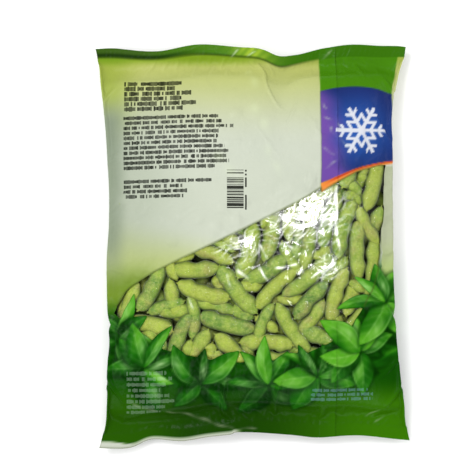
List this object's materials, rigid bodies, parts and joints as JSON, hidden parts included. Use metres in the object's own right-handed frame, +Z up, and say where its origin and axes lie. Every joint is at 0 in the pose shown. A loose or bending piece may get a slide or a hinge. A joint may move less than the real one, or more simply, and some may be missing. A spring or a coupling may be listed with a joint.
{
  "type": "bag of edamame pods",
  "caption": "Sealed pillow bag of frozen edamame pods lying on its back, in printed film with a clear window over the pods, a lapped long seam and flat welded ends.",
  "frame": {"origin": "centre of the bag's outline, on the surface it lies on", "axes": "+X across the bag, towards the side that the long seam is nearer to; +Y along the bag, towards the top weld; +Z up, from the lower face to the face with the window"},
  "size_m": [0.244, 0.3174, 0.0508],
  "materials": {
    "printed_film": "glossy polyethylene film, printed cream, green and blue",
    "clear_film": "clear polyethylene film, crinkled",
    "pods": "matt, with fine hairs and a little frost"
  },
  "bodies": {
    "root": {"printed_film": "printed_film", "clear_film_window": "clear_film", "edamame_pods": "pods"}
  },
  "joints": []
}
